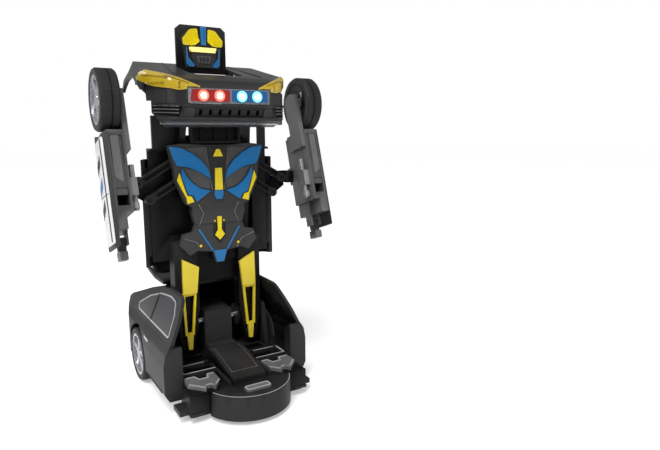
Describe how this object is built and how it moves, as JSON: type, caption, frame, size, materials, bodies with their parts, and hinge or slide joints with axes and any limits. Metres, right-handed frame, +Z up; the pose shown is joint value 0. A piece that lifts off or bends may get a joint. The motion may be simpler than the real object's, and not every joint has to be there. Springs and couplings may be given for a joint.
{
  "type": "transforming robot car",
  "caption": "Battery toy robot that folds down into a patrol-style car, with door arms on links, flip-up head and bump-and-go base.",
  "frame": {"origin": "on the ground under the middle of the bounding box of the standing robot", "axes": "+Z up, -Y the front of the robot and of the folded car, +X the toy's left"},
  "size_m": [0.1408, 0.148, 0.235],
  "materials": {
    "shell_black": "gloss",
    "frame_black": "satin",
    "trim_grey": "satin",
    "door_white": "gloss",
    "tyre": "matte",
    "hub_silver": "satin",
    "yellow": "gloss",
    "lamp_ochre": "clear coated",
    "clear_lens": "clear",
    "lens_red": "clear red",
    "lens_blue": "clear blue",
    "bar_white": "gloss",
    "steel": "bright",
    "circuit": "satin",
    "cell": "gloss"
  },
  "bodies": {
    "base": {"base_tray": "frame_black", "bottom_cover": "frame_black", "battery_door": "frame_black", "battery_cells": "cell", "base_screws": "steel", "circuit_board": "circuit", "speaker": "frame_black", "gearbox_housing": "frame_black", "motor": "steel", "hinge_shaft": "steel", "foot_plates": "trim_grey", "badge_plate": "trim_grey", "rear_shell": "shell_black", "tail_lamps": "lens_red"},
    "roof_hatch_body": {"roof_hatch": "shell_black"},
    "power_switch_body": {"power_switch": "trim_grey"},
    "rear_wheelset": {"rear_axle": "steel", "rear_tyres": "tyre", "rear_hubs": "hub_silver"},
    "turret": {"turret_disc": "frame_black"},
    "turret_wheelset": {"turret_wheels": "tyre"},
    "riser": {"leg_frame": "frame_black", "leg_plates": "yellow", "pelvis_plate": "shell_black", "chest_plate": "shell_black", "torso_frame": "frame_black", "link_pins": "frame_black", "vent_block": "frame_black", "cabin_shell": "shell_black", "lightbar_base": "bar_white", "lightbar_lens_red": "lens_red", "lightbar_lens_blue": "lens_blue"},
    "hood": {"hood_shell": "shell_black", "headlamps": "lamp_ochre", "led_window": "clear_lens", "bumper_grille": "frame_black", "hood_frame": "frame_black", "hood_pivot_pin": "steel", "led_board": "circuit"},
    "head": {"head_plate": "frame_black", "head_face": "yellow"},
    "level_link_body": {"level_link": "frame_black"},
    "right_upper_link_body": {"right_upper_link": "frame_black"},
    "right_lower_link_body": {"right_lower_link": "frame_black"},
    "right_shoulder": {"right_shoulder_bracket": "frame_black"},
    "right_arm": {"right_arm_frame": "trim_grey", "right_door_panel": "door_white", "right_blaster": "trim_grey"},
    "right_front_wheel": {"right_wheel_tyre": "tyre", "right_wheel_hub": "hub_silver"},
    "right_hand_body": {"right_hand": "trim_grey"},
    "left_upper_link_body": {"left_upper_link": "frame_black"},
    "left_lower_link_body": {"left_lower_link": "frame_black"},
    "left_shoulder": {"left_shoulder_bracket": "frame_black"},
    "left_arm": {"left_arm_frame": "trim_grey", "left_door_panel": "door_white", "left_blaster": "trim_grey"},
    "left_front_wheel": {"left_wheel_tyre": "tyre", "left_wheel_hub": "hub_silver"},
    "left_hand_body": {"left_hand": "trim_grey"}
  },
  "joints": [
    {"name": "rise", "type": "hinge", "parent": "base", "child": "riser", "pos_m": [0, 0.004, 0.042], "axis": [1, 0, 0], "range_deg": [0, 90]},
    {"name": "hood_level", "type": "hinge", "parent": "riser", "child": "hood", "pos_m": [0, -0.0115, 0.1885], "axis": [1, 0, 0], "range_deg": [-90, 0]},
    {"name": "head_flip", "type": "hinge", "parent": "hood", "child": "head", "pos_m": [0, 0.0115, 0.2064], "axis": [1, 0, 0], "range_deg": [0, 103]},
    {"name": "level_link_swing", "type": "hinge", "parent": "base", "child": "level_link_body", "pos_m": [0.0265, 0.0148, 0.0528], "axis": [1, 0, 0], "range_deg": [0, 90]},
    {"name": "roof_hatch_swing", "type": "hinge", "parent": "base", "child": "roof_hatch_body", "pos_m": [0, 0.0176, 0.0659], "axis": [1, 0, 0], "range_deg": [0, 170]},
    {"name": "rear_axle_spin", "type": "hinge", "parent": "base", "child": "rear_wheelset", "pos_m": [0, 0.027, 0.018], "axis": [1, 0, 0], "continuous": true},
    {"name": "turret_spin", "type": "hinge", "parent": "base", "child": "turret", "pos_m": [0, -0.05, 0.005], "axis": [0, 0, 1], "continuous": true},
    {"name": "turret_wheel_spin", "type": "hinge", "parent": "turret", "child": "turret_wheelset", "pos_m": [0, -0.05, 0.0065], "axis": [1, 0, 0], "continuous": true},
    {"name": "power_switch_slide", "type": "slide", "parent": "base", "child": "power_switch_body", "axis": [1, 0, 0], "range_m": [0, 0.003]},
    {"name": "right_upper_link_swing", "type": "hinge", "parent": "riser", "child": "right_upper_link_body", "pos_m": [-0.0254, -0.0025, 0.1505], "axis": [0, -1, 0], "range_deg": [0, 58]},
    {"name": "right_lower_link_swing", "type": "hinge", "parent": "riser", "child": "right_lower_link_body", "pos_m": [-0.0184, -0.0025, 0.1405], "axis": [0, -1, 0], "range_deg": [0, 58]},
    {"name": "right_shoulder_level", "type": "hinge", "parent": "right_upper_link_body", "child": "right_shoulder", "pos_m": [-0.04878, -0.0025, 0.137], "axis": [0, 1, 0], "range_deg": [0, 58]},
    {"name": "right_arm_pitch", "type": "hinge", "parent": "right_shoulder", "child": "right_arm", "pos_m": [-0.04878, -0.001, 0.137], "axis": [1, 0, 0], "range_deg": [0, 18]},
    {"name": "right_wheel_spin", "type": "hinge", "parent": "right_arm", "child": "right_front_wheel", "pos_m": [-0.065, -0.00502, 0.18613], "axis": [1, 0, 0], "continuous": true},
    {"name": "right_hand_fold", "type": "hinge", "parent": "right_arm", "child": "right_hand_body", "pos_m": [-0.064, -0.02149, 0.10631], "axis": [1, 0, 0], "range_deg": [-90, 0]},
    {"name": "left_upper_link_swing", "type": "hinge", "parent": "riser", "child": "left_upper_link_body", "pos_m": [0.0254, -0.0025, 0.1505], "axis": [0, 1, 0], "range_deg": [0, 58]},
    {"name": "left_lower_link_swing", "type": "hinge", "parent": "riser", "child": "left_lower_link_body", "pos_m": [0.0184, -0.0025, 0.1405], "axis": [0, 1, 0], "range_deg": [0, 58]},
    {"name": "left_shoulder_level", "type": "hinge", "parent": "left_upper_link_body", "child": "left_shoulder", "pos_m": [0.04878, -0.0025, 0.137], "axis": [0, -1, 0], "range_deg": [0, 58]},
    {"name": "left_arm_pitch", "type": "hinge", "parent": "left_shoulder", "child": "left_arm", "pos_m": [0.04878, -0.001, 0.137], "axis": [1, 0, 0], "range_deg": [0, 18]},
    {"name": "left_wheel_spin", "type": "hinge", "parent": "left_arm", "child": "left_front_wheel", "pos_m": [0.065, -0.00502, 0.18613], "axis": [1, 0, 0], "continuous": true},
    {"name": "left_hand_fold", "type": "hinge", "parent": "left_arm", "child": "left_hand_body", "pos_m": [0.064, -0.02149, 0.10631], "axis": [1, 0, 0], "range_deg": [-90, 0]}
  ],
  "couplings": [
    {"joint": "hood_level", "follows": "rise", "ratio": -1},
    {"joint": "head_flip", "follows": "rise", "ratio": 1.1444},
    {"joint": "level_link_swing", "follows": "rise", "ratio": 1},
    {"joint": "roof_hatch_swing", "follows": "rise", "ratio": 1.8889},
    {"joint": "right_upper_link_swing", "follows": "rise", "ratio": 0.64444},
    {"joint": "right_lower_link_swing", "follows": "rise", "ratio": 0.64444},
    {"joint": "right_shoulder_level", "follows": "rise", "ratio": 0.64444},
    {"joint": "right_arm_pitch", "follows": "rise", "ratio": 0.2},
    {"joint": "right_hand_fold", "follows": "rise", "ratio": -1},
    {"joint": "left_upper_link_swing", "follows": "rise", "ratio": 0.64444},
    {"joint": "left_lower_link_swing", "follows": "rise", "ratio": 0.64444},
    {"joint": "left_shoulder_level", "follows": "rise", "ratio": 0.64444},
    {"joint": "left_arm_pitch", "follows": "rise", "ratio": 0.2},
    {"joint": "left_hand_fold", "follows": "rise", "ratio": -1}
  ]
}
